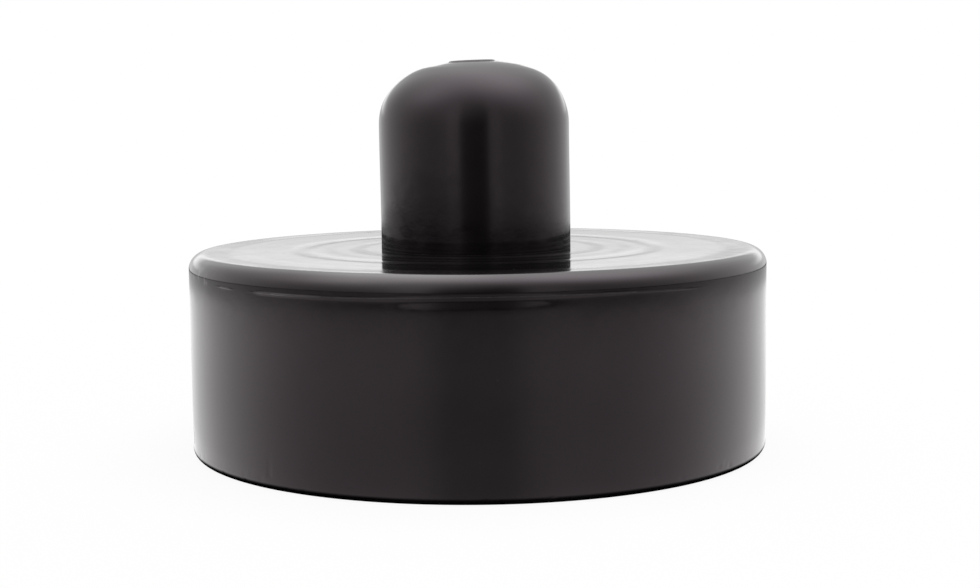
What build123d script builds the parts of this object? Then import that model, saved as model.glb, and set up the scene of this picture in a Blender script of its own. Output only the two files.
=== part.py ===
from build123d import *
import math
import os

# Jack pad adapter: one solid rubber moulding. A round puck spreads the load of the jack's
# saddle, and the domed peg on top of it goes up into the vehicle's jacking hole.
# Frame: the origin is the centre of the underside, +Z is up along the peg, millimetres.

# Puck
PUCK_RADIUS = 40.0          # cylindrical side below the parting line
PUCK_HEIGHT = 27.8          # underside to bearing face
BOTTOM_ROUND = 1.2          # round where the side meets the underside

# Upper lip of the puck, shaped by the top plate of the mould
PARTING_HEIGHT = 24.95      # height of the parting line on the side
MOULD_STEP = 0.08           # how far the lip stands inside the side of the puck
TOP_ROUND = 2.1             # round where the lip meets the bearing face
FLASH_PROUD = 0.16          # how far the trimmed flash stands out of the side
FLASH_THICKNESS = 0.3

# Turned rings that the mould leaves in the bearing face
RING_RADII = (17.0, 24.5, 35.0)
RING_WIDTH = 0.9
RING_DEPTH = 0.05

# Peg
PEG_RADIUS = 13.15
PEG_HEIGHT = 25.9           # bearing face to the top of the crown
PEG_FOOT_FLARE = 0.4        # small flare where the peg meets the bearing face
SHOULDER_RADIUS = 8.4       # round between the straight peg and the crown
SHOULDER_SWEEP = 75.0       # degrees of turn before the flatter crown takes over

# Disc left by the mould's gate on the crown
GATE_RADIUS = 3.3
GATE_RISE = 0.2             # above the top of the crown

# The crown is one arc centred on the axis, tangent to the end of the shoulder
SHOULDER_END_RADIUS = (
    PEG_RADIUS - SHOULDER_RADIUS + SHOULDER_RADIUS * math.cos(math.radians(SHOULDER_SWEEP))
)
CROWN_RADIUS = SHOULDER_END_RADIUS / math.cos(math.radians(SHOULDER_SWEEP))
CROWN_RISE = CROWN_RADIUS * (1 - math.sin(math.radians(SHOULDER_SWEEP)))
SHOULDER_RISE = SHOULDER_RADIUS * math.sin(math.radians(SHOULDER_SWEEP))
CROWN_SWEEP = 90.0 - SHOULDER_SWEEP - math.degrees(math.asin(GATE_RADIUS / CROWN_RADIUS))

LIP_RADIUS = PUCK_RADIUS - MOULD_STEP
CROWN_TOP = PUCK_HEIGHT + PEG_HEIGHT
SHOULDER_HEIGHT = CROWN_TOP - CROWN_RISE - SHOULDER_RISE
GATE_TOP = CROWN_TOP + GATE_RISE

UP = (0, 1)
OUTWARD = (1, 0)


def puck_side():
    """Underside, bottom round, side, flash ridge and lip, from the axis to the bearing face."""
    underside = Line((0, 0), (PUCK_RADIUS - BOTTOM_ROUND, 0))
    JernArc(underside @ 1, OUTWARD, BOTTOM_ROUND, 90)
    side_top = PARTING_HEIGHT - FLASH_THICKNESS / 2
    Polyline(
        (PUCK_RADIUS, BOTTOM_ROUND),
        (PUCK_RADIUS, side_top),
        (PUCK_RADIUS + FLASH_PROUD, PARTING_HEIGHT),
        (LIP_RADIUS, PARTING_HEIGHT + FLASH_THICKNESS / 2),
        (LIP_RADIUS, PUCK_HEIGHT - TOP_ROUND),
    )
    JernArc((LIP_RADIUS, PUCK_HEIGHT - TOP_ROUND), UP, TOP_ROUND, 90)


def bearing_face():
    """Flat face with its shallow turned rings, from the lip in to the foot of the peg."""
    points = [(LIP_RADIUS - TOP_ROUND, PUCK_HEIGHT)]
    for radius in sorted(RING_RADII, reverse=True):
        points += [
            (radius + RING_WIDTH / 2, PUCK_HEIGHT),
            (radius, PUCK_HEIGHT - RING_DEPTH),
            (radius - RING_WIDTH / 2, PUCK_HEIGHT),
        ]
    points.append((PEG_RADIUS + PEG_FOOT_FLARE, PUCK_HEIGHT))
    Polyline(*points)


def peg():
    """Foot flare, straight peg, tangent shoulder and crown, and the gate disc on the axis."""
    Polyline(
        (PEG_RADIUS + PEG_FOOT_FLARE, PUCK_HEIGHT),
        (PEG_RADIUS, PUCK_HEIGHT + PEG_FOOT_FLARE),
        (PEG_RADIUS, SHOULDER_HEIGHT),
    )
    shoulder = JernArc((PEG_RADIUS, SHOULDER_HEIGHT), UP, SHOULDER_RADIUS, SHOULDER_SWEEP)
    crown = JernArc(shoulder @ 1, shoulder % 1, CROWN_RADIUS, CROWN_SWEEP)
    Polyline(crown @ 1, (GATE_RADIUS, GATE_TOP), (0, GATE_TOP))


def jack_pad():
    """The whole moulding, turned from one half section about the vertical axis."""
    with BuildPart() as pad:
        with BuildSketch(Plane.XZ):
            with BuildLine():
                puck_side()
                bearing_face()
                peg()
                Line((0, GATE_TOP), (0, 0))
            make_face()
        revolve(axis=Axis.Z)
    return pad.part


os.makedirs("parts", exist_ok=True)
export_step(jack_pad(), "parts/jack_pad.step")
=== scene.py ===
"""Looks for the jack pad adapter: a round moulded rubber puck with a domed locating peg.

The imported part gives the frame. One turned rubber piece, made by a Geometry Nodes tree from a
half section, stands for the part's single solid. It carries the torn flash at the parting line,
the turned marks of the mould's top plate, the gate disc on the crown and the small waves of a
moulded skin. Lengths are in metres, in the part's own frame: the origin is the centre of the
underside and +Z runs up the peg.
"""

import logging
import math
from dataclasses import dataclass, field, fields
from enum import Enum
from functools import reduce
from typing import Any

import bmesh
import bpy
from mathutils import Matrix, Vector


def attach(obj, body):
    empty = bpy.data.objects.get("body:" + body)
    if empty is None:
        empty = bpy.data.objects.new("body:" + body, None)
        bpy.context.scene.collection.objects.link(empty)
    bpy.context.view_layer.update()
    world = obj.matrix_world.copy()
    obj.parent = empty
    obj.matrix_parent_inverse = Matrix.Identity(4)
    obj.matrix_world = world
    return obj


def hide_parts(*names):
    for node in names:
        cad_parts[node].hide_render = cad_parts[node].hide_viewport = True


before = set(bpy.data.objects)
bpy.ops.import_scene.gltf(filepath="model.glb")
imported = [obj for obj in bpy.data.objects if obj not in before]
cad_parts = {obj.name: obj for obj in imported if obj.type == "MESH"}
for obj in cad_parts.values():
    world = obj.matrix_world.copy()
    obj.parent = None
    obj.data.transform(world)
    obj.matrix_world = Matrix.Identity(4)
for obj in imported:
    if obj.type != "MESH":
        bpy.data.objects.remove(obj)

LOG = logging.getLogger("jack_pad")
MM = 0.001

Socket = bpy.types.NodeSocket
Colour = tuple[float, float, float, float]
Span = tuple[float, float]
Curve = tuple[Span, ...]

WHITE: Colour = (1.0, 1.0, 1.0, 1.0)


class Zone(Enum):
    """Marks that the half section hands to the turned mesh, as named attributes."""

    SKIN = "skin_wave"
    PARTING = "parting_wander"
    FLASH = "flash_reach"
    CHIP = "edge_chip"
    TORN = "torn_rubber"
    SINK = "sink_mark"
    PEG = "peg_shift"
    GATE = "gate_shift"


Marks = tuple[tuple[Zone, float], ...]
WAVED: Marks = ((Zone.SKIN, 1.0),)
STILL: Marks = ((Zone.SKIN, 0.0),)


@dataclass(frozen=True)
class SectionPoint:
    """One point of the half section, in metres, with how strongly each zone acts there."""

    radius: float
    height: float
    marks: Marks = WAVED


def linked(name: str, data: Any) -> bpy.types.Object:
    """Makes an object at the origin and links it to the scene.

    Args:
        name: The object's name.
        data: Its mesh, light or camera.

    Returns:
        The new object.
    """
    thing = bpy.data.objects.new(name, data)
    bpy.context.scene.collection.objects.link(thing)
    return thing


# --------------------------------------------------------------------------------------
# Node helpers
# --------------------------------------------------------------------------------------


class Graph:
    """Adds and joins the nodes of one node tree."""

    def __init__(self, tree: bpy.types.NodeTree) -> None:
        """Keeps the tree that the new nodes go into."""
        self.tree = tree

    @classmethod
    def emptied(cls, owner: bpy.types.Material | bpy.types.World) -> "Graph":
        """Clears the nodes of a new material or world.

        Args:
            owner: The material or the world.

        Returns:
            The graph of its empty tree.
        """
        owner.use_nodes = True
        owner.node_tree.nodes.clear()
        return cls(owner.node_tree)

    def add(
        self, kind: str, inputs: dict[Any, Any] | None = None, **settings: Any
    ) -> bpy.types.Node:
        """Adds one node, sets its options and feeds its inputs.

        Args:
            kind: The node's type name.
            inputs: Values or sockets for its inputs, by name or by index.
            **settings: Options of the node, such as its operation.

        Returns:
            The new node.
        """
        node = self.tree.nodes.new(kind)
        for name, value in settings.items():
            setattr(node, name, value)
        for key, value in (inputs or {}).items():
            self.feed(node.inputs[key], value)
        return node

    def out(self, kind: str, inputs: dict[Any, Any] | None = None, **settings: Any) -> Socket:
        """Adds one node as add does, and returns its first output."""
        return self.add(kind, inputs, **settings).outputs[0]

    def feed(self, socket: Socket, value: Any) -> None:
        """Links a socket to an input, or writes a plain value on it.

        Args:
            socket: The input to feed.
            value: An output socket, or a value that the input takes.
        """
        if isinstance(value, Socket):
            self.tree.links.new(value, socket)
        else:
            socket.default_value = value

    def math(self, operation: str, *values: Any, clamp: bool = False) -> Socket:
        """A Math node of up to three numbers or sockets, clamped from 0 to 1 if asked."""
        inputs = dict(enumerate(values))
        return self.out("ShaderNodeMath", inputs, operation=operation, use_clamp=clamp)

    def product(self, *values: Any) -> Socket:
        """Numbers or sockets multiplied together, in their order."""
        return reduce(lambda first, second: self.math("MULTIPLY", first, second), values)

    def vector(self, operation: str, *values: Any, result: int = 0) -> Socket:
        """A Vector Math node of vectors or sockets: result 0 is its vector and 1 its number."""
        inputs = dict(enumerate(values))
        return self.add("ShaderNodeVectorMath", inputs, operation=operation).outputs[result]

    def scaled(self, vector: Any, factor: Any) -> Socket:
        """A vector multiplied by a number."""
        inputs = {"Vector": vector, "Scale": factor}
        return self.out("ShaderNodeVectorMath", inputs, operation="SCALE")

    def level(self, vector: Any) -> Socket:
        """The level direction of a vector, with a length of 1."""
        return self.vector("NORMALIZE", self.vector("MULTIPLY", vector, (1.0, 1.0, 0.0)))

    def split(self, vector: Any) -> Any:
        """The X, Y and Z sockets of a vector."""
        return self.add("ShaderNodeSeparateXYZ", {0: vector}).outputs

    def combine(self, x: Any = 0.0, y: Any = 0.0, z: Any = 0.0) -> Socket:
        """A vector made of three numbers or sockets."""
        return self.out("ShaderNodeCombineXYZ", {0: x, 1: y, 2: z})

    def remap(
        self, value: Any, low: float, high: float, to_low: Any = 0.0, to_high: Any = 1.0
    ) -> Socket:
        """A smooth clamped ramp: low gives to_low, and high gives to_high."""
        inputs = {0: value, 1: low, 2: high, 3: to_low, 4: to_high}
        return self.out("ShaderNodeMapRange", inputs, interpolation_type="SMOOTHSTEP")

    def fade(self, value: Any, span: Span, origin: float = 0.0) -> Socket:
        """A smooth mask over a span, given in millimetres from an origin in metres."""
        return self.remap(value, origin + span[0] * MM, origin + span[1] * MM)

    def noise(
        self, vector: Any, scale: Any, detail: float, seed: Any, rough: float = 0.5
    ) -> Socket:
        """Noise from 0 to 1 in four dimensions, whose fourth coordinate is the fixed seed."""
        inputs = {"Vector": vector, "W": seed, "Scale": scale, "Detail": detail, "Roughness": rough}
        return self.out("ShaderNodeTexNoise", inputs, noise_dimensions="4D")

    def curve(self, value: Any, points: Curve) -> Socket:
        """Adds a Float Curve node through the given points.

        Args:
            value: The socket that is looked up.
            points: Pairs from 0 to 1 of where and how much.

        Returns:
            The curve's value.
        """
        node = self.add("ShaderNodeFloatCurve", {1: value})
        line = node.mapping.curves[0]
        while len(line.points) < len(points):
            line.points.new(0.5, 0.5)
        for handle, place in zip(line.points, points):
            handle.location = place
        node.mapping.update()
        return node.outputs[0]

    def mix(self, factor: Any, first: Any, second: Any) -> Socket:
        """Two colours mixed: a factor of 0 gives the first and 1 the second."""
        inputs = {0: factor, 6: first, 7: second}
        return self.add("ShaderNodeMix", inputs, data_type="RGBA").outputs[2]

    def blend(self, factor: Any, first: Any, second: Any) -> Socket:
        """Two numbers mixed: a factor of 0 gives the first and 1 the second."""
        return self.out("ShaderNodeMix", {0: factor, 2: first, 3: second}, data_type="FLOAT")

    def bump(self, height: Any, depth: float, normal: Socket | None = None) -> Socket:
        """A normal raised by a height from 0 to 1.

        Args:
            height: The height's socket.
            depth: How far a height of 1 is raised.
            normal: The normal that it starts from, where that isn't the mesh's own.

        Returns:
            The new normal.
        """
        inputs = {"Strength": 1.0, "Distance": depth, "Height": height}
        if normal is not None:
            inputs["Normal"] = normal
        return self.out("ShaderNodeBump", inputs)

    def glow(self, strength: Any) -> Socket:
        """A white emission shader of the given strength."""
        return self.out("ShaderNodeEmission", {"Color": WHITE, "Strength": strength})

    def either(self, factor: Any, first: Socket, second: Socket) -> Socket:
        """Two shaders mixed: a factor of 0 gives the first and 1 the second."""
        return self.out("ShaderNodeMixShader", {0: factor, 1: first, 2: second})

    def mirrors(self, rays: Any) -> Socket:
        """1 for rays that a glossy or a clear surface sends on, from Light Path's sockets."""
        return self.math("MAXIMUM", rays["Is Glossy Ray"], rays["Is Transmission Ray"])

    def use(self, tree: bpy.types.NodeTree, *values: Any) -> Any:
        """The output sockets of a group, with its inputs fed in their order."""
        return self.add("ShaderNodeGroup", dict(enumerate(values)), node_tree=tree).outputs


@dataclass(frozen=True)
class Port:
    """One named input or output of a node group."""

    name: str
    kind: str = "NodeSocketFloat"
    start: Any = None


def new_group(
    name: str, tree_type: str, inputs: list[Port], outputs: list[Port]
) -> tuple[Graph, Any]:
    """Makes an empty node group with its named sockets.

    Args:
        name: The group's name.
        tree_type: The type of node tree, for shaders or for geometry.
        inputs: The group's inputs, in order.
        outputs: The group's outputs, in order.

    Returns:
        The graph of the new group, and the sockets that its inputs come in by.
    """
    tree = bpy.data.node_groups.new(name, tree_type)
    for in_out, ports in (("INPUT", inputs), ("OUTPUT", outputs)):
        for port in ports:
            socket = tree.interface.new_socket(port.name, in_out=in_out, socket_type=port.kind)
            if port.start is not None:
                socket.default_value = port.start
    graph = Graph(tree)
    return graph, graph.add("NodeGroupInput").outputs


# --------------------------------------------------------------------------------------
# Half section of the pad
# --------------------------------------------------------------------------------------


def smooth(low: float, high: float, value: float) -> float:
    """The height of a smooth step from 0, at low, to 1, at high."""
    share = min(1.0, max(0.0, (value - low) / (high - low)))
    return share * share * (3.0 - 2.0 * share)


def arc(
    centre: Span, radius: float, start: float, end: float, count: int, marks: Marks = WAVED
) -> list[SectionPoint]:
    """Points along an arc of the half section.

    Args:
        centre: The arc's centre, as radius and height.
        radius: The arc's own radius.
        start: Start angle in degrees, from level outwards.
        end: End angle in degrees.
        count: How many points, both ends included.
        marks: The marks of each point.

    Returns:
        The points, in order.
    """
    points = []
    for step in range(count):
        turn = math.radians(start + (end - start) * step / (count - 1))
        place = (centre[0] + radius * math.cos(turn), centre[1] + radius * math.sin(turn))
        points.append(SectionPoint(*place, marks))
    return points


def upright(
    radius: float, foot: float, top: float, count: int, marks: Marks = WAVED
) -> list[SectionPoint]:
    """Points up a straight run of the half section, without its foot.

    Args:
        radius: How far out the run stands.
        foot: The height that it starts from.
        top: The height that it ends at.
        count: How many points follow the foot.
        marks: The marks of each point.

    Returns:
        The points, in order, ending at the top.
    """
    heights = [foot + (top - foot) * step / count for step in range(1, count + 1)]
    return [SectionPoint(radius, height, marks) for height in heights]


@dataclass
class Puck:
    """The round puck: underside, side, torn flash, lip and the turned bearing face."""

    radius: float = 40.0 * MM
    height: float = 27.8 * MM
    bottom_round: float = 1.2 * MM
    chip_top: float = 2.4 * MM
    chip_wave: float = 0.3
    parting_height: float = 25.02 * MM
    sunk_reach: float = 2.1 * MM
    top_round: float = 2.1 * MM
    lip_foot: float = 0.12 * MM
    # Radii of the underside's rows of points, in millimetres
    underside_rows: tuple[float, ...] = (0.0, 2.0, 9.0, 17.0, 25.0, 32.0, 36.0)
    # How far under the parting line, in millimetres, and how deeply sunk
    sunken: Curve = (
        (1.7, 0.0), (1.4, 0.1), (1.15, 0.28), (0.9, 0.54), (0.65, 0.82), (0.4, 1.0), (0.16, 0.7),
    )  # fmt: skip
    # Half the height of the torn ridge at its root and its tip, and the lip's rows over it
    ridge_root: float = 0.1
    ridge_tip: float = 0.04
    # How far the flash's reach and the sinking carry over to the ridge's root and its tip
    root_reach: float = 0.12
    root_sink: float = 0.4
    tip_sink: float = 0.2
    lip_rows: Span = (0.16, 0.3)
    # Radius, reach to each side and depth of each turned ring, in millimetres
    rings: tuple[tuple[float, float, float], ...] = (
        (35.0, 0.9, 0.025),
        (24.5, 1.8, 0.05),
        (17.0, 0.9, 0.025),
    )
    ripple_depth: float = 0.002 * MM
    ripple_pitch: float = 3.1 * MM
    face_wave: float = 0.35
    face_step: float = 0.62 * MM
    face_inner: float = 13.38 * MM

    def underside(self) -> list[SectionPoint]:
        """The flat underside, from the axis out to the bottom round."""
        return [SectionPoint(radius * MM, 0.0, STILL) for radius in self.underside_rows]

    def side(self) -> list[SectionPoint]:
        """The bottom round, its chipped upper edge and the side up to the flash.

        Returns:
            The points, in order.
        """
        centre = (self.radius - self.bottom_round, self.bottom_round)
        low = arc(centre, self.bottom_round, -90.0, -40.0, 6, STILL)
        chipped = ((Zone.SKIN, self.chip_wave), (Zone.CHIP, 1.0))
        high = arc(centre, self.bottom_round, -30.0, 0.0, 4, chipped)
        edge = upright(self.radius, self.bottom_round, self.chip_top, 4, chipped)
        wall_top = self.parting_height - self.sunk_reach
        return low + high + edge + upright(self.radius, self.chip_top, wall_top, 12)

    def flash(self) -> list[SectionPoint]:
        """The sunken top of the side, the torn ridge at the parting line and the lip's start.

        Returns:
            The points, in order.
        """
        moved = WAVED + ((Zone.PARTING, 1.0),)
        root = moved + ((Zone.FLASH, self.root_reach), (Zone.SINK, self.root_sink))
        tip = moved + ((Zone.FLASH, 1.0), (Zone.TORN, 1.0), (Zone.SINK, self.tip_sink))
        rows = [(-below, moved + ((Zone.SINK, share),)) for below, share in self.sunken]
        rows += [(-self.ridge_root, root), (-self.ridge_tip, tip)]
        rows += [(self.ridge_tip, tip), (self.ridge_root, root)]
        rows += [(above, moved) for above in self.lip_rows]
        line = self.parting_height
        return [SectionPoint(self.radius, line + rise * MM, marks) for rise, marks in rows]

    def lip(self) -> list[SectionPoint]:
        """The lip's short upright and the round up to the bearing face.

        Returns:
            The points, in order.
        """
        foot = self.height - self.top_round
        centre = (self.radius - self.top_round, foot)
        start = [SectionPoint(self.radius, foot - self.lip_foot)]
        return start + arc(centre, self.top_round, 0.0, 90.0, 13)

    def face_height(self, radius: float) -> float:
        """Height of the bearing face, with its shallow rings and slow ripples.

        Args:
            radius: Distance from the axis.

        Returns:
            The height above the underside.
        """
        dip = self.ripple_depth * 0.5 * (1.0 - math.cos(math.tau * radius / self.ripple_pitch))
        for ring, reach, depth in self.rings:
            dip = max(dip, depth * MM * smooth(reach * MM, 0.0, abs(radius - ring * MM)))
        return self.height - dip

    def face(self) -> list[SectionPoint]:
        """The bearing face, from the lip in to the foot of the peg.

        Returns:
            The points, in order.
        """
        outer = self.radius - self.top_round
        count = round((outer - self.face_inner) / self.face_step)
        marks = ((Zone.SKIN, self.face_wave),)
        radii = [outer + (self.face_inner - outer) * step / count for step in range(1, count)]
        return [SectionPoint(radius, self.face_height(radius), marks) for radius in radii]

    def section(self) -> list[SectionPoint]:
        """The whole puck, from the axis on the underside to the foot of the peg."""
        return self.underside() + self.side() + self.flash() + self.lip() + self.face()


@dataclass
class Peg:
    """The domed peg: its foot, the straight shank, the shoulder, the crown and the gate disc."""

    base_height: float = 27.8 * MM
    radius: float = 13.2 * MM
    foot_edge: float = 0.004 * MM
    shoulder_radius: float = 8.05 * MM
    shoulder_sweep: float = 75.0
    crown_top: float = 53.78 * MM
    gate_radius: float = 3.3 * MM
    gate_room: float = 1.04
    gate_torn: float = 0.5
    # Lean at the foot and next to the gate; it is 1 where the shank meets the shoulder
    foot_lean: float = 0.62
    crown_lean: float = -0.15
    # Where the lean grows and the skin's waves start on the shank, and where the lean goes
    lean_grows: Span = (0.15, 1.0)
    waves_start: Span = (0.2, 0.9)
    lean_goes: Span = (0.22, 0.78)
    # Radius and rise of the gate disc's rows, in millimetres, from its softened rim to its axis
    gate_rows: Curve = (
        (3.36, -0.24), (3.24, -0.12), (3.1, -0.03), (2.85, 0.0), (2.2, 0.0), (1.3, -0.01),
        (0.0, -0.01),
    )  # fmt: skip

    def crown_radius(self) -> float:
        """Radius of the crown's arc, which is centred on the axis and tangent to the shoulder.

        Returns:
            The radius.
        """
        sweep = math.radians(self.shoulder_sweep)
        end = self.radius - self.shoulder_radius + self.shoulder_radius * math.cos(sweep)
        return end / math.cos(sweep)

    def shoulder_height(self) -> float:
        """Height where the straight shank ends and the shoulder starts.

        Returns:
            The height.
        """
        sweep = math.radians(self.shoulder_sweep)
        rise = self.crown_radius() * (1.0 - math.sin(sweep))
        return self.crown_top - rise - self.shoulder_radius * math.sin(sweep)

    def shank(self) -> list[SectionPoint]:
        """The sharp foot and the straight shank.

        Returns:
            The points, in order.
        """
        start = self.base_height + self.foot_edge
        corners = (
            (self.radius + self.foot_edge, self.base_height),
            (self.radius, self.base_height),
            (self.radius, start),
        )
        marks = STILL + ((Zone.PEG, self.foot_lean),)
        points = [SectionPoint(*corner, marks) for corner in corners]
        rows = upright(self.radius, start, self.shoulder_height(), 16)
        for step, row in enumerate(rows, start=1):
            share = step / len(rows)
            lean = self.foot_lean + (1.0 - self.foot_lean) * smooth(*self.lean_grows, share)
            marks = ((Zone.SKIN, smooth(*self.waves_start, share)), (Zone.PEG, lean))
            points.append(SectionPoint(row.radius, row.height, marks))
        return points

    def dome(self) -> list[SectionPoint]:
        """The round shoulder and the flatter crown, up to the gate disc.

        Returns:
            The points, in order.
        """
        centre = (self.radius - self.shoulder_radius, self.shoulder_height())
        points = []
        shoulder = arc(centre, self.shoulder_radius, 0.0, self.shoulder_sweep, 17)[1:]
        for step, row in enumerate(shoulder, start=1):
            gone = smooth(*self.lean_goes, step / len(shoulder))
            lean = 1.0 - (1.0 - self.crown_lean) * gone
            points.append(SectionPoint(row.radius, row.height, WAVED + ((Zone.PEG, lean),)))
        curve = self.crown_radius()
        rim = 90.0 - math.degrees(math.asin(self.gate_radius * self.gate_room / curve))
        crown = arc((0.0, self.crown_top - curve), curve, self.shoulder_sweep, rim, 6)[1:]
        for step, row in enumerate(crown, start=1):
            share = step / len(crown)
            marks = WAVED + ((Zone.GATE, share), (Zone.PEG, self.crown_lean * (1.0 - share)))
            points.append(SectionPoint(row.radius, row.height, marks))
        return points

    def gate(self) -> list[SectionPoint]:
        """The gate disc with its softened rim, ending on the axis."""
        marks, top = ((Zone.TORN, self.gate_torn), (Zone.GATE, 1.0)), self.crown_top
        return [SectionPoint(out * MM, top + rise * MM, marks) for out, rise in self.gate_rows]

    def section(self) -> list[SectionPoint]:
        """The whole peg, from the bearing face to the axis on its top."""
        return self.shank() + self.dome() + self.gate()


# --------------------------------------------------------------------------------------
# The turned piece
# --------------------------------------------------------------------------------------


@dataclass
class SkinWear:
    """How a moulded skin departs from its clean turned shape. Each field is a tree input."""

    segments: int = 640
    seed: float = 7.3
    wave_depth: float = 0.04 * MM
    wave_size: float = 17.0 * MM
    flash_reach: float = 0.17 * MM
    flash_tear: float = 1.9 * MM
    wander_depth: float = 0.17 * MM
    wander_lobes: float = 4.0
    wander_turn: float = 0.91
    sink_depth: float = 0.05 * MM
    peg_shift: float = -0.3 * MM
    gate_shift: float = -0.5 * MM
    crown_tilt: float = 0.03
    chip_depth: float = 0.07 * MM
    chip_size: float = 0.9 * MM
    torn_depth: float = 0.05 * MM
    torn_size: float = 0.7 * MM


def input_name(size: str) -> str:
    """The name of the tree's input for a field, such as Wave Depth for wave_depth."""
    return size.replace("_", " ").title()


class RevolveTree:
    """Geometry Nodes tree that turns a half section about +Z and gives it a moulded skin."""

    MERGE = 0.001 * MM
    # Octaves of each noise, and what it adds to the seed so that no two are alike
    NOISES = {
        "Wave Size": (2.0, 0.0),
        "Chip Size": (2.0, 3.7),
        "Torn Size": (3.0, 9.1),
        "Flash Tear": (3.0, 13.0),
    }
    CHIP_RAMP: Span = (0.63, 0.72)
    TEAR_RAMP = (0.38, 0.6, 0.35, 1.0)
    TORN_MIDDLE = 0.55
    # The parting line's finer wander: its lobes, its turn and its share of the slow one
    FINE_LOBES, FINE_TURN, FINE_SHARE = 11.0, 0.6, 0.15
    # From how much flash, and from how strong a mark, the rubber counts as torn
    LEAST_FLASH, LEAST_TORN = 0.12, 0.6
    # How much flash the trimming knife left, once round the part from the side at -X
    TRIM: Curve = (
        (0.0, 0.0), (0.09, 0.0), (0.101, 0.06), (0.112, 0.0), (0.13, 0.02), (0.137, 1.0),
        (0.156, 0.9), (0.17, 0.4), (0.22, 0.3), (0.285, 0.26), (0.33, 0.12), (0.38, 0.0),
        (0.46, 0.0), (0.54, 0.3), (0.63, 0.12), (0.71, 0.6), (0.78, 0.2), (0.9, 0.35), (1.0, 0.0),
    )  # fmt: skip
    # How far the side has sunk under the parting line, once round in the same way
    SINK: Curve = (
        (0.0, 0.0), (0.13, 0.0), (0.17, 0.08), (0.21, 0.35), (0.25, 1.0), (0.28, 0.6),
        (0.32, 0.04), (0.48, 0.0), (0.62, 0.4), (0.75, 0.3), (0.88, 0.5), (1.0, 0.0),
    )  # fmt: skip

    def __init__(self) -> None:
        """Builds the whole tree."""
        ports = [Port("Section", "NodeSocketGeometry")]
        for size in fields(SkinWear):
            kind = "NodeSocketInt" if size.type is int else "NodeSocketFloat"
            ports.append(Port(input_name(size.name), kind))
        ports += [Port("Skin", "NodeSocketMaterial"), Port("Torn", "NodeSocketMaterial")]
        outputs = [Port("Piece", "NodeSocketGeometry")]
        self.graph, self.given = new_group("turned_moulding", "GeometryNodeTree", ports, outputs)
        self.finish(self.worn(self.turned()))

    def turned(self) -> Socket:
        """Turns the section into a closed skin with one column for each segment.

        Returns:
            The turned mesh, with its seam and its two poles closed.
        """
        graph, segments = self.graph, self.given["Segments"]
        section = {0: self.given["Section"]}
        size = graph.add("GeometryNodeAttributeDomainSize", section, component="MESH")
        columns = graph.math("ADD", segments, 1.0)
        skin = graph.out("GeometryNodeMeshGrid", {2: size.outputs["Point Count"], 3: columns})
        index = graph.out("GeometryNodeInputIndex")
        row = graph.math("FLOOR", graph.math("DIVIDE", graph.math("ADD", index, 0.5), columns))
        column = graph.math("SUBTRACT", index, graph.product(row, columns))
        turn = graph.math("DIVIDE", graph.product(column, math.tau), segments)
        radius, _, height = graph.split(self.sample("FLOAT_VECTOR", self.position(), row))
        across = graph.product(radius, graph.math("COSINE", turn))
        along = graph.product(radius, graph.math("SINE", turn))
        for zone in Zone:
            value = self.sample("FLOAT", self.mark(zone), row)
            stored = {"Geometry": skin, "Name": zone.value, "Value": value}
            skin = graph.out(
                "GeometryNodeStoreNamedAttribute", stored, data_type="FLOAT", domain="POINT"
            )
        placed = {"Geometry": skin, "Position": graph.combine(across, along, height)}
        skin = graph.out("GeometryNodeSetPosition", placed)
        skin = graph.out("GeometryNodeMergeByDistance", {"Geometry": skin, "Distance": self.MERGE})
        return graph.out("GeometryNodeFlipFaces", {"Mesh": skin})

    def sample(self, kind: str, value: Socket, row: Socket) -> Socket:
        """Reads a value, of the data type that kind names, at one point of the section."""
        inputs = {"Geometry": self.given["Section"], "Value": value, "Index": row}
        return self.graph.out("GeometryNodeSampleIndex", inputs, data_type=kind, domain="POINT")

    def position(self) -> Socket:
        """Where each point of the mesh is."""
        return self.graph.out("GeometryNodeInputPosition")

    def mark(self, zone: Zone) -> Socket:
        """How strongly a zone acts, from the mesh's named attribute."""
        name = {0: zone.value}
        return self.graph.out("GeometryNodeInputNamedAttribute", name, data_type="FLOAT")

    def grain(self, size: str) -> Socket:
        """Seeded noise on the mesh.

        Args:
            size: The name of the input that holds the size of its features.

        Returns:
            The noise, from 0 to 1.
        """
        octaves, shift = self.NOISES[size]
        scale = self.graph.math("DIVIDE", 1.0, self.given[size])
        seed = self.graph.math("ADD", self.given["Seed"], shift)
        return self.graph.noise(self.position(), scale, octaves, seed)

    def turn(self) -> Socket:
        """The angle round the axis, from -pi to pi."""
        across, along, _ = self.graph.split(self.position())
        return self.graph.math("ARCTAN2", along, across)

    def around(self, table: Curve) -> Socket:
        """Reads a curve that runs once round the part, from -X."""
        share = self.graph.math("MULTIPLY_ADD", self.turn(), 1.0 / math.tau, 0.5)
        return self.graph.curve(share, table)

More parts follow.
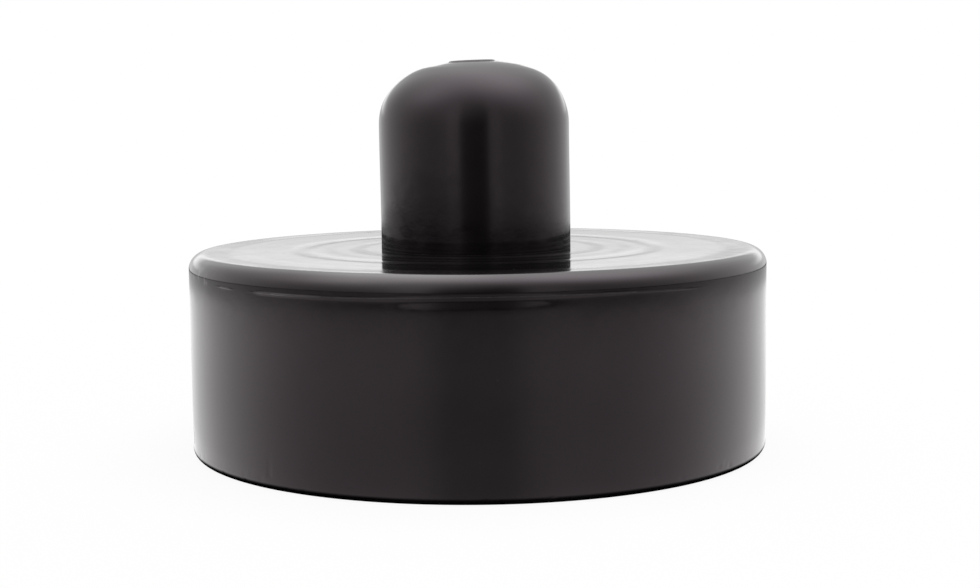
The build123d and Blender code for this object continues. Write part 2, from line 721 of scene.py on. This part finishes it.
    def worn(self, skin: Socket) -> Socket:
        """Moves the clean skin by its waves, torn flash, wandering parting line and chips.

        Args:
            skin: The turned mesh.

        Returns:
            The mesh after the move.
        """
        graph, given = self.graph, self.given
        wave = graph.math("SUBTRACT", 0.5, self.grain("Wave Size"))
        depth = graph.product(given["Wave Depth"], 2.0)
        wave = graph.product(wave, depth, self.mark(Zone.SKIN))
        chips = graph.remap(self.grain("Chip Size"), *self.CHIP_RAMP)
        depth = graph.product(given["Chip Depth"], -1.0)
        chips = graph.product(chips, depth, self.mark(Zone.CHIP))
        torn = graph.math("SUBTRACT", self.grain("Torn Size"), self.TORN_MIDDLE)
        left = graph.math("MAXIMUM", self.around(self.TRIM), self.mark(Zone.GATE))
        share = graph.product(self.mark(Zone.TORN), left)
        torn = graph.product(torn, given["Torn Depth"], share)
        lift = graph.math("ADD", graph.math("ADD", wave, chips), torn)
        move = graph.scaled(graph.out("GeometryNodeInputNormal"), lift)
        move = graph.vector("ADD", move, self.ragged_flash())
        move = graph.vector("ADD", move, self.set_off_axis())
        return graph.out("GeometryNodeSetPosition", {"Geometry": skin, "Offset": move})

    def ragged_flash(self) -> Socket:
        """How far the torn ridge reaches out, and how far the parting line wanders up or down.

        Returns:
            The offset of each point, as a vector.
        """
        graph, given, turn = self.graph, self.given, self.turn()
        tear = graph.remap(self.grain("Flash Tear"), *self.TEAR_RAMP)
        reach = graph.product(
            self.around(self.TRIM), tear, given["Flash Reach"], self.mark(Zone.FLASH)
        )
        sink = graph.product(self.around(self.SINK), given["Sink Depth"], self.mark(Zone.SINK))
        reach = graph.math("SUBTRACT", reach, sink)
        lobe = graph.math("MULTIPLY_ADD", turn, given["Wander Lobes"], given["Wander Turn"])
        fine = graph.math("MULTIPLY_ADD", turn, self.FINE_LOBES, self.FINE_TURN)
        slow, fine = graph.math("SINE", lobe), graph.math("SINE", fine)
        swing = graph.math("MULTIPLY_ADD", fine, self.FINE_SHARE, slow)
        rise = graph.product(swing, given["Wander Depth"], self.mark(Zone.PARTING))
        outward = graph.scaled(graph.level(self.position()), reach)
        return graph.vector("ADD", outward, graph.combine(z=rise))

    def set_off_axis(self) -> Socket:
        """How far the peg and its gate disc sit off the axis, and the crown's slight tilt.

        Returns:
            The offset of each point, as a vector.
        """
        graph, given, gate = self.graph, self.given, self.mark(Zone.GATE)
        across = graph.split(self.position())[0]
        shift = graph.product(given["Gate Shift"], gate)
        shift = graph.math("MULTIPLY_ADD", given["Peg Shift"], self.mark(Zone.PEG), shift)
        rise = graph.product(across, given["Crown Tilt"], graph.math("SQRT", gate))
        return graph.combine(x=shift, z=rise)

    def finish(self, skin: Socket) -> None:
        """Ends the tree: realised, shaded smooth and given its two materials.

        Args:
            skin: The mesh to hand out.
        """
        graph, given = self.graph, self.given
        skin = graph.out("GeometryNodeRealizeInstances", {0: skin})
        skin = graph.out("GeometryNodeSetShadeSmooth", {"Geometry": skin})
        skin = graph.out("GeometryNodeSetMaterial", {"Geometry": skin, "Material": given["Skin"]})
        left = graph.math("GREATER_THAN", self.around(self.TRIM), self.LEAST_FLASH)
        share = graph.product(self.mark(Zone.TORN), left)
        torn = graph.math("GREATER_THAN", share, self.LEAST_TORN)
        inputs = {"Geometry": skin, "Selection": torn, "Material": given["Torn"]}
        graph.add("NodeGroupOutput", {0: graph.out("GeometryNodeSetMaterial", inputs)})

    def socket_ids(self) -> dict[str, str]:
        """The identifier of each named input."""
        items = self.graph.tree.interface.items_tree
        return {item.name: item.identifier for item in items if item.in_out == "INPUT"}


@dataclass
class TurnedPad:
    """The one rubber moulding, turned from the sections of its puck and its peg."""

    puck: Puck = field(default_factory=Puck)
    peg: Peg = field(default_factory=Peg)
    wear: SkinWear = field(default_factory=SkinWear)

    def section_object(self) -> bpy.types.Object:
        """A wire of the half section, with the zones as attributes of its points.

        Returns:
            The wire, for the tree to turn.
        """
        points = self.puck.section() + self.peg.section()
        mesh = bpy.data.meshes.new("half_section")
        links = [(step, step + 1) for step in range(len(points) - 1)]
        mesh.from_pydata([(point.radius, 0.0, point.height) for point in points], links, [])
        for zone in Zone:
            layer = mesh.attributes.new(zone.value, "FLOAT", "POINT")
            layer.data.foreach_set("value", [dict(point.marks).get(zone, 0.0) for point in points])
        return linked("half_section", mesh)

    def build(self, skin: bpy.types.Material, torn: bpy.types.Material) -> bpy.types.Object:
        """Turns the section and keeps the result as a plain mesh.

        Args:
            skin: Material of the moulded skin.
            torn: Material of the torn flash and the gate.

        Returns:
            The finished piece.
        """
        wire = self.section_object()
        revolve = RevolveTree()
        modifier = wire.modifiers.new("turned", "NODES")
        modifier.node_group = revolve.graph.tree
        ids = revolve.socket_ids()
        for size in fields(self.wear):
            modifier[ids[input_name(size.name)]] = getattr(self.wear, size.name)
        modifier[ids["Skin"]] = skin
        modifier[ids["Torn"]] = torn
        graph = bpy.context.evaluated_depsgraph_get()
        mesh = bpy.data.meshes.new_from_object(wire.evaluated_get(graph))
        mesh.name = "rubber_pad"
        bpy.data.objects.remove(wire)
        for zone in Zone:
            mesh.attributes.remove(mesh.attributes[zone.value])
        self.report(mesh)
        return linked("rubber_pad", mesh)

    def report(self, mesh: bpy.types.Mesh) -> None:
        """Logs the piece's triangle count, its volume and how many of its edges are open.

        Args:
            mesh: The finished mesh.
        """
        shape = bmesh.new()
        shape.from_mesh(mesh)
        open_edges = sum(1 for edge in shape.edges if not edge.is_manifold)
        volume = shape.calc_volume(signed=True) * 1e6
        triangles = sum(len(face.verts) - 2 for face in shape.faces)
        shape.free()
        text = "rubber_pad: %d triangles, volume %.1f cm3, %d open edges"
        LOG.info(text, triangles, volume, open_edges)


# --------------------------------------------------------------------------------------
# Rubber finishes
# --------------------------------------------------------------------------------------


def pattern_group(
    name: str, size: str, last: str, outputs: tuple[str, ...]
) -> tuple[Graph, Any, Socket]:
    """Makes a shader group for a pattern, with inputs for its vector, its size and one number.

    Args:
        name: The group's name.
        size: The name of the input that holds the size of the pattern's features.
        last: The name of the third input.
        outputs: The names of the group's outputs.

    Returns:
        The group's graph, the sockets of its inputs, and how many features fill a metre.
    """
    inputs = [Port("Vector", "NodeSocketVector"), Port(size, start=MM), Port(last)]
    graph, given = new_group(name, "ShaderNodeTree", inputs, [Port(out) for out in outputs])
    return graph, given, graph.math("DIVIDE", 1.0, given[size])


class RubberGroups:
    """Shader node groups for the rubber finishes."""

    BROAD_RAMP: Span = (0.36, 0.64)
    FINE_RAMP: Span = (0.34, 0.7)
    # How much finer the fine haze is than the broad one, and the flow marks than the grain
    FINE_TIMES, FLOW_TIMES = 7.0, 0.12
    # Share of its cell that a speck fills: what chance adds, the least size and the soft edge
    SPECK_SPREAD, SPECK_LEAST, SPECK_EDGE = 0.06, 0.02, 0.03

    def __init__(self) -> None:
        """Builds the three groups."""
        self.haze = self.patchy_haze()
        self.grain = self.moulded_grain()
        self.specks = self.fine_specks()

    def patchy_haze(self) -> bpy.types.NodeTree:
        """Soft patches of bloom and handling haze.

        Returns:
            The group, which puts out a broad and a fine mask.
        """
        parts = pattern_group("rubber_haze", "Patch Size", "Seed", ("Broad", "Fine"))
        graph, given, scale = parts
        place, seed = given["Vector"], given["Seed"]
        broad = graph.noise(place, scale, 4.0, seed, 0.55)
        fine = graph.noise(place, graph.product(scale, self.FINE_TIMES), 5.0, seed, 0.6)
        masks = {0: graph.remap(broad, *self.BROAD_RAMP), 1: graph.remap(fine, *self.FINE_RAMP)}
        graph.add("NodeGroupOutput", masks)
        return graph.tree

    def moulded_grain(self) -> bpy.types.NodeTree:
        """The very fine grain that a mould leaves, over slow flow marks.

        Returns:
            The group, which puts out a height from 0 to 1 and a flow mask.
        """
        parts = pattern_group("rubber_grain", "Grain Size", "Seed", ("Height", "Flow"))
        graph, given, scale = parts
        place, seed = given["Vector"], given["Seed"]
        fine = graph.noise(place, scale, 3.0, seed)
        flow = graph.noise(place, graph.product(scale, self.FLOW_TIMES), 3.0, seed)
        graph.add("NodeGroupOutput", {0: fine, 1: flow})
        return graph.tree

    def fine_specks(self) -> bpy.types.NodeTree:
        """Sparse specks of dust and tiny pits.

        Returns:
            The group, which puts out one mask.
        """
        graph, given, scale = pattern_group("rubber_specks", "Cell Size", "Share", ("Mask",))
        cells = {"Vector": given["Vector"], "Scale": scale}
        cells = graph.add("ShaderNodeTexVoronoi", cells, feature="F1").outputs
        pick = graph.add("ShaderNodeSeparateColor", {0: cells["Color"]}).outputs
        chosen = graph.math("LESS_THAN", pick[0], given["Share"])
        size = graph.math("MULTIPLY_ADD", pick[1], self.SPECK_SPREAD, self.SPECK_LEAST)
        near = graph.math("SUBTRACT", size, cells["Distance"])
        mask = graph.product(chosen, graph.remap(near, 0.0, self.SPECK_EDGE))
        graph.add("NodeGroupOutput", {0: mask})
        return graph.tree


@dataclass(frozen=True)
class Spot:
    """Where a point of the skin is, as sockets in one material's graph."""

    graph: Graph
    place: Socket
    across: Socket
    height: Socket
    radius: Socket


@dataclass(frozen=True)
class MouldedSkinFinish:
    """Satin skin of near-black rubber, with turned marks on the bearing face."""

    base: Colour = (0.003, 0.0026, 0.0028, 1.0)
    bloom: Colour = (0.0062, 0.0055, 0.0058, 1.0)
    dust: Colour = (0.03, 0.028, 0.029, 1.0)
    lighter_ring_colour: Colour = (0.0125, 0.0115, 0.012, 1.0)
    scuffed: Colour = (0.13, 0.125, 0.128, 1.0)
    cast: Colour = (1.0, 0.857, 0.937, 1.0)
    ior: float = 1.545
    roughness: Span = (0.06, 0.11)
    face_roughness: float = 0.06
    # What each of these adds to the roughness where it is strongest
    haze_adds: float = 0.03
    dull_adds: float = 0.13
    speck_adds: float = 0.2
    patch_size: float = 14.0 * MM
    patch_seed: float = 2.0
    grain_size: float = 0.35 * MM
    grain_seed: float = 5.0
    grain_depth: float = 0.001 * MM
    flow_depth: float = 0.006 * MM
    turned_pitch: float = 0.55 * MM
    turned_seed: float = 1.0
    turned_depth: float = 0.0009 * MM
    speck_cell: float = 2.2 * MM
    speck_share: float = 0.06
    speck_strength: float = 0.6
    scuff_size: float = 1.3 * MM
    scuff_seed: float = 4.0
    scuff_ramp: Span = (0.54, 0.66)
    polish_roughness: float = 0.12
    # Polish of the lip elsewhere, and along its rubbed stretch
    polish: Span = (0.2, 0.9)
    face_height: float = 27.8 * MM
    face_inner: float = 13.7 * MM
    face_outer: float = 38.2 * MM
    # Where each mask starts and is full, in millimetres: above or below the face
    face_foot: Span = (-0.35, -0.1)
    face_top: Span = (0.15, 0.02)
    rim_foot: Span = (-2.6, -0.9)
    scuff_foot: Span = (-3.3, -2.6)
    # The same across the part, and out from the face's inner or outer edge
    scuff_side: Span = (-32.0, -35.0)
    polish_left: Span = (-24.0, -14.0)
    polish_right: Span = (5.0, -8.0)
    inner_edge: Span = (-0.2, 0.3)
    outer_edge: Span = (0.6, -0.6)
    rim_edge: Span = (-1.2, 0.0)
    # Dull zones that the turned mould leaves on the face, by share of the way out to its rim
    dull_zones: Curve = (
        (0.0, 0.2), (0.06, 0.35), (0.13, 0.9), (0.21, 0.25), (0.28, 0.6), (0.36, 0.2),
        (0.44, 0.65), (0.53, 0.2), (0.65, 0.3), (0.76, 0.2), (0.88, 0.8), (0.95, 0.85), (1.0, 0.9),
    )  # fmt: skip
    # How the broad haze varies the dull zones: what it adds, and what is there without it
    dull_haze: Span = (0.5, 0.6)

    def face_mask(self, spot: Spot) -> Socket:
        """Where the surface is the turned bearing face.

        Args:
            spot: The point of the skin.

        Returns:
            A mask that is 1 on the face.
        """
        graph = spot.graph
        foot = graph.fade(spot.height, self.face_foot, self.face_height)
        top = graph.fade(spot.height, self.face_top, self.face_height)
        outer = graph.fade(spot.radius, self.outer_edge, self.face_outer)
        inner = graph.fade(spot.radius, self.inner_edge, self.face_inner)
        return graph.product(graph.product(foot, top), graph.product(outer, inner))

    def dullness(self, spot: Spot, haze: Socket) -> Socket:
        """How dull the turned zones of the face are.

        Args:
            spot: The point of the skin.
            haze: The broad haze.

        Returns:
            The dullness, which counts only on the face.
        """
        graph = spot.graph
        way_out = graph.math("SUBTRACT", spot.radius, self.face_inner)
        way_out = graph.math("DIVIDE", way_out, self.face_outer - self.face_inner, clamp=True)
        varied = graph.math("MULTIPLY_ADD", haze, *self.dull_haze)
        return graph.product(graph.curve(way_out, self.dull_zones), varied)

    def lip_polish(self, spot: Spot) -> Socket:
        """How far the lip has been rubbed to a shine, most of all along one stretch.

        Args:
            spot: The point of the skin.

        Returns:
            The polish, from 0 to 1.
        """
        graph = spot.graph
        rim = graph.product(
            graph.fade(spot.height, self.rim_foot, self.face_height),
            graph.fade(spot.radius, self.rim_edge, self.face_outer),
        )
        right = graph.fade(spot.across, self.polish_right)
        left = graph.fade(spot.across, self.polish_left)
        return graph.product(rim, graph.blend(graph.product(right, left), *self.polish))

    def scuffs(self, spot: Spot, face: Socket) -> Socket:
        """Pale scuffs at one end of the lip.

        Args:
            spot: The point of the skin.
            face: The mask of the bearing face, which has none.

        Returns:
            A mask that is 1 in a scuff.
        """
        graph = spot.graph
        marks = graph.noise(spot.place, 1.0 / self.scuff_size, 4.0, self.scuff_seed, 0.6)
        return graph.product(
            graph.remap(marks, *self.scuff_ramp),
            graph.fade(spot.across, self.scuff_side),
            graph.fade(spot.height, self.scuff_foot, self.face_height),
            graph.math("SUBTRACT", 1.0, face),
        )

    def material(self, groups: RubberGroups) -> bpy.types.Material:
        """Builds the material.

        Args:
            groups: The shared node groups.

        Returns:
            The material of the moulded skin.
        """
        skin = bpy.data.materials.new("moulded_rubber")
        graph = Graph.emptied(skin)
        place = graph.add("ShaderNodeTexCoord").outputs["Object"]
        across, along, height = graph.split(place)
        radius = graph.vector("LENGTH", graph.combine(across, along), result=1)
        spot = Spot(graph, place, across, height, radius)
        haze = graph.use(groups.haze, place, self.patch_size, self.patch_seed)
        grain = graph.use(groups.grain, place, self.grain_size, self.grain_seed)
        specks = graph.use(groups.specks, place, self.speck_cell, self.speck_share)[0]
        face = self.face_mask(spot)
        dull = self.dullness(spot, haze["Broad"])

        colour = graph.mix(haze["Broad"], self.base, self.bloom)
        # The face's dull rings are given a lighter colour.
        colour = graph.mix(graph.product(dull, face), colour, self.lighter_ring_colour)
        colour = graph.mix(self.scuffs(spot, face), colour, self.scuffed)
        colour = graph.mix(graph.product(specks, self.speck_strength), colour, self.dust)

        rough = graph.blend(haze["Fine"], *self.roughness)
        rough = graph.math("MULTIPLY_ADD", haze["Broad"], self.haze_adds, rough)
        face_rough = graph.math("MULTIPLY_ADD", dull, self.dull_adds, self.face_roughness)
        face_rough = graph.math("MULTIPLY_ADD", haze["Fine"], self.haze_adds, face_rough)
        rough = graph.blend(face, rough, face_rough)
        rough = graph.math("MULTIPLY_ADD", specks, self.speck_adds, rough)

        rings = graph.noise(
            graph.combine(radius), 1.0 / self.turned_pitch, 4.0, self.turned_seed, 0.65
        )
        normal = graph.bump(grain["Flow"], self.flow_depth)
        normal = graph.bump(grain["Height"], self.grain_depth, normal)
        normal = graph.bump(graph.product(rings, face), self.turned_depth, normal)
        dressed = {
            "Base Color": colour,
            "Roughness": rough,
            "IOR": self.ior,
            "Specular Tint": self.cast,
            "Normal": normal,
            "Coat Weight": self.lip_polish(spot),
            "Coat Roughness": self.polish_roughness,
        }
        shader = graph.out("ShaderNodeBsdfPrincipled", dressed)
        graph.add("ShaderNodeOutputMaterial", {"Surface": shader})
        return skin


@dataclass(frozen=True)
class TornRubberFinish:
    """Rough, slightly paler rubber where flash and gate have been torn away."""

    base: Colour = (0.009, 0.008, 0.0085, 1.0)
    pale: Colour = (0.034, 0.031, 0.032, 1.0)
    ior: float = 1.5
    roughness: Span = (0.34, 0.55)
    patch_size: float = 2.5 * MM
    patch_seed: float = 11.0
    grain_size: float = 0.22 * MM
    grain_seed: float = 8.0
    grain_depth: float = 0.02 * MM

    def material(self, groups: RubberGroups) -> bpy.types.Material:
        """Builds the material.

        Args:
            groups: The shared node groups.

        Returns:
            The material of torn rubber.
        """
        torn = bpy.data.materials.new("torn_rubber")
        graph = Graph.emptied(torn)
        place = graph.add("ShaderNodeTexCoord").outputs["Object"]
        haze = graph.use(groups.haze, place, self.patch_size, self.patch_seed)
        grain = graph.use(groups.grain, place, self.grain_size, self.grain_seed)
        dressed = {
            "Base Color": graph.mix(haze["Fine"], self.base, self.pale),
            "Roughness": graph.blend(haze["Broad"], *self.roughness),
            "IOR": self.ior,
            "Normal": graph.bump(grain["Height"], self.grain_depth),
        }
        shader = graph.out("ShaderNodeBsdfPrincipled", dressed)
        graph.add("ShaderNodeOutputMaterial", {"Surface": shader})
        return torn


# --------------------------------------------------------------------------------------
# Stage, light and camera
# --------------------------------------------------------------------------------------


@dataclass(frozen=True)
class SoftLight:
    """One soft light of the room, as it shows in the rubber's sheen."""

    way: tuple[float, float, float]
    level: float
    focus: float


@dataclass
class Studio:
    """A round pale table under a soft light, in a white room open on one side."""

    part_radius: float = 40.0 * MM
    table_radius: float = 300.0 * MM
    table_colour: Colour = (0.8, 0.8, 0.8, 1.0)
    table_level: float = 1.45
    table_middle: float = 0.77
    # How far out from the part's foot the table's glow rises from dark: a painted contact shadow in
    # reflections
    contact_shadow_reach: float = 1.6 * MM
    shadow_start: float = 78.0 * MM
    shadow_reach: float = 260.0 * MM
    shadow_share: float = 0.07
    lamp_place: tuple[float, float, float] = (0.1, 0.06, 0.75)
    lamp_radius: float = 0.35
    lamp_level: float = 2.5
    room_level: float = 0.55
    # The dark gap under the room's horizon, by openness; heights are parts of a unit direction
    horizon_drop: float = -0.0685
    horizon_edge: float = 0.003
    gap_turn: Span = (0.2, 0.5)
    gap_level: Span = (0.22, 0.03)
    # A low glow behind the part: how strong, how open, and the heights of its foot and top
    low_glow: float = 0.85
    glow_turn: Span = (0.15, 0.0)
    glow_foot: Span = (0.055, 0.105)
    glow_top: Span = (0.25, 0.14)
    # A darker band that shows only after two reflections
    sill_shade: float = 0.93
    sill_foot: Span = (0.02, 0.045)
    sill_top: Span = (0.18, 0.13)
    sill_after: float = 1.5
    soft_lights: tuple[SoftLight, ...] = (
        SoftLight((0.36, 0.0, 0.93), 2.45, 4.9),
        SoftLight((-0.58, -0.09, 0.81), 1.32, 6.7),
        SoftLight((-0.13, 0.53, 0.84), 1.0, 7.5),
        SoftLight((-0.32, -0.82, 0.48), 0.28, 8.2),
    )
    # Brightness round the horizon, and round the table, from behind (0) to the open side (1)
    horizon: Curve = (
        (0.0, 0.6), (0.02, 0.7), (0.05, 0.95), (0.33, 0.85), (0.5, 0.65), (0.67, 0.45),
        (0.81, 0.35), (0.9, 0.38), (0.95, 0.48), (0.98, 0.2), (0.992, 0.05), (1.0, 0.02),
    )  # fmt: skip
    # The table's glow in reflections: painted light behind the part and painted shade towards the
    # open side
    table_painted_light: Curve = (
        (0.0, 0.8), (0.07, 0.98), (0.18, 0.96), (0.33, 0.88), (0.5, 0.69), (0.67, 0.52),
        (0.81, 0.43), (0.9, 0.41), (0.95, 0.38), (0.98, 0.3), (0.994, 0.235), (1.0, 0.225),
    )  # fmt: skip
    # The same painted glow of the table by distance from the part, near its foot and out to its own
    # edge
    table_painted_falloff: Curve = (
        (0.0, 0.86), (0.02, 0.84), (0.05, 0.77), (0.5, 0.77), (0.66, 0.72), (0.8, 0.42), (1.0, 0.3),
    )  # fmt: skip

    @staticmethod
    def openness(graph: Graph, way: Socket) -> Socket:
        """How far a direction points to the room's open side, which is 1; straight behind is 0."""
        forward = graph.vector("DOT_PRODUCT", graph.level(way), (0.0, -1.0, 0.0), result=1)
        return graph.math("MULTIPLY_ADD", forward, 0.5, 0.5)

    def mirrored_openness(self, graph: Graph, place: Socket, radius: Socket) -> Socket:
        """How open the direction is in which the part's round side mirrors a place on the table.

        Args:
            graph: The graph to build in.
            place: The place on the table.
            radius: Its distance from the axis.

        Returns:
            0 where the side mirrors straight away from the open side, 1 towards it.
        """
        across, along, _ = graph.split(place)
        turn = graph.math("ARCTAN2", across, graph.product(along, -1.0))
        spread = graph.math("SUBTRACT", 2.0, graph.math("DIVIDE", self.part_radius, radius))
        turn = graph.math("ABSOLUTE", graph.product(turn, 2.0))
        turn = graph.math("MINIMUM", graph.math("DIVIDE", turn, spread), math.pi)
        return graph.math("MULTIPLY_ADD", graph.math("COSINE", turn), 0.5, 0.5)

    def table_material(self) -> bpy.types.Material:
        """Pale table top, which keeps the part's shadow for the eye. In reflections it glows with
        painted light and shade: brighter behind the part, darker towards the open side and far out,
        and painted dark as a contact shadow at the part's foot.

        Returns:
            The material.
        """
        paper = bpy.data.materials.new("pale_table")
        graph = Graph.emptied(paper)
        rays = graph.add("ShaderNodeLightPath").outputs
        place = graph.add("ShaderNodeTexCoord").outputs["Object"]
        radius = graph.vector("LENGTH", place, result=1)
        share = graph.remap(radius, self.shadow_start, self.shadow_reach, self.shadow_share, 0.0)
        shaded = graph.out("ShaderNodeBsdfDiffuse", {"Color": WHITE})
        seen = graph.either(share, graph.glow(1.0), shaded)

        # Painted light and shade: for reflections the table glows by place, though it is no lamp
        width = self.table_radius - self.part_radius
        outward = graph.math("SUBTRACT", radius, self.part_radius)
        outward = graph.math("DIVIDE", outward, width, clamp=True)
        reach = graph.math("DIVIDE", graph.curve(outward, self.table_painted_falloff), self.table_middle)
        # Painted contact shadow: the table's glow falls to dark at the part's foot
        contact = graph.remap(outward, 0.0, self.contact_shadow_reach / width)
        tone = graph.curve(self.mirrored_openness(graph, place, radius), self.table_painted_light)
        tone = graph.product(tone, graph.product(reach, contact), self.table_level)

        plain = graph.out("ShaderNodeBsdfDiffuse", {"Color": self.table_colour})
        under = graph.either(graph.mirrors(rays), plain, graph.glow(tone))
        shader = graph.either(rays["Is Camera Ray"], under, seen)
        graph.add("ShaderNodeOutputMaterial", {"Surface": shader})
        return paper

    def table(self) -> None:
        """The round table top that the part stands on."""
        shape = bmesh.new()
        bmesh.ops.create_circle(shape, cap_ends=True, segments=128, radius=self.table_radius)
        mesh = bpy.data.meshes.new("table_top")
        shape.to_mesh(mesh)
        shape.free()
        mesh.materials.append(self.table_material())
        linked("table_top", mesh)

    def room(self) -> None:
        """The white room: even for the eye, with its soft light and open side in reflections."""
        world = bpy.data.worlds.new("white_room")
        bpy.context.scene.world = world
        graph = Graph.emptied(world)
        rays = graph.add("ShaderNodeLightPath").outputs
        way = graph.vector("NORMALIZE", graph.add("ShaderNodeTexCoord").outputs["Generated"])
        up = graph.split(way)[2]
        openness = self.openness(graph, way)
        sky = graph.product(graph.curve(openness, self.horizon), graph.remap(up, 1.0, 0.0))
        low = graph.product(
            graph.remap(up, *self.glow_foot),
            graph.remap(up, *self.glow_top),
            graph.remap(openness, *self.glow_turn),
        )
        sky = graph.math("MULTIPLY_ADD", low, self.low_glow, sky)
        for light in self.soft_lights:
            aim = tuple(Vector(light.way).normalized())
            near = graph.math("SUBTRACT", graph.vector("DOT_PRODUCT", way, aim, result=1), 1.0)
            glow = graph.math("EXPONENT", graph.product(near, light.focus))
            sky = graph.math("MULTIPLY_ADD", glow, light.level, sky)
        gap = graph.remap(openness, *self.gap_turn, *self.gap_level)
        edge = self.horizon_drop - self.horizon_edge
        sky = graph.product(sky, graph.remap(up, edge, self.horizon_drop, gap, 1.0))
        sill = graph.product(
            graph.remap(up, *self.sill_foot),
            graph.remap(up, *self.sill_top),
            graph.math("GREATER_THAN", rays["Glossy Depth"], self.sill_after),
            self.sill_shade,
        )
        sky = graph.product(sky, graph.math("SUBTRACT", 1.0, sill))
        level = graph.blend(graph.mirrors(rays), self.room_level, sky)
        level = graph.blend(rays["Is Camera Ray"], level, 1.0)
        backdrop = graph.out("ShaderNodeBackground", {"Color": WHITE, "Strength": level})
        graph.add("ShaderNodeOutputWorld", {"Surface": backdrop})

    def lamp(self) -> None:
        """One large round soft light above, whose glare is drawn by the room instead."""
        light = bpy.data.lights.new("soft_light", "AREA")
        light.shape = "DISK"
        light.size = 2.0 * self.lamp_radius
        light.energy = self.lamp_level * math.pi * math.pi * self.lamp_radius**2
        lamp = linked("soft_light", light)
        lamp.location = self.lamp_place
        lamp.visible_glossy = False

    def build(self) -> None:
        """Builds the table, the room and the light."""
        self.table()
        self.room()
        self.lamp()
        LOG.info("studio: round table, white room and one soft light")


@dataclass
class Viewpoint:
    """Where the camera stands: low and close in front, a little above the peg's shoulder."""

    distance: float = 247.6 * MM
    height: float = 48.34 * MM
    pitch_down: float = 6.255
    roll: float = -0.625
    lens: float = 65.13
    sensor_width: float = 36.0
    shift_x: float = 0.0123
    clip_start: float = 0.01

    def build(self) -> None:
        """Makes the scene's camera."""
        data = bpy.data.cameras.new("front_camera")
        for name in ("lens", "sensor_width", "shift_x", "clip_start"):
            setattr(data, name, getattr(self, name))
        camera = linked("front_camera", data)
        tilt = Matrix.Rotation(math.radians(90.0 - self.pitch_down), 4, "X")
        twist = Matrix.Rotation(math.radians(self.roll), 4, "Z")
        camera.matrix_world = Matrix.Translation((0.0, -self.distance, self.height)) @ tilt @ twist
        bpy.context.scene.camera = camera
        LOG.info("camera: %.0f mm in front, %.0f mm up", self.distance / MM, self.height / MM)


# --------------------------------------------------------------------------------------


def main() -> None:
    """Builds the stage, the camera and the dressed part, in that order."""
    logging.basicConfig(level=logging.INFO, format="%(name)s: %(message)s")
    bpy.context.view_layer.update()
    bpy.context.scene.view_settings.view_transform = "Standard"
    Studio().build()
    Viewpoint().build()
    groups = RubberGroups()
    skin = MouldedSkinFinish().material(groups)
    torn = TornRubberFinish().material(groups)
    pad = TurnedPad().build(skin, torn)
    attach(pad, "root")
    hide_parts("jack_pad")
    LOG.info("part dressed: %d nodes in the frame", len(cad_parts))


if __name__ == "__main__":
    main()
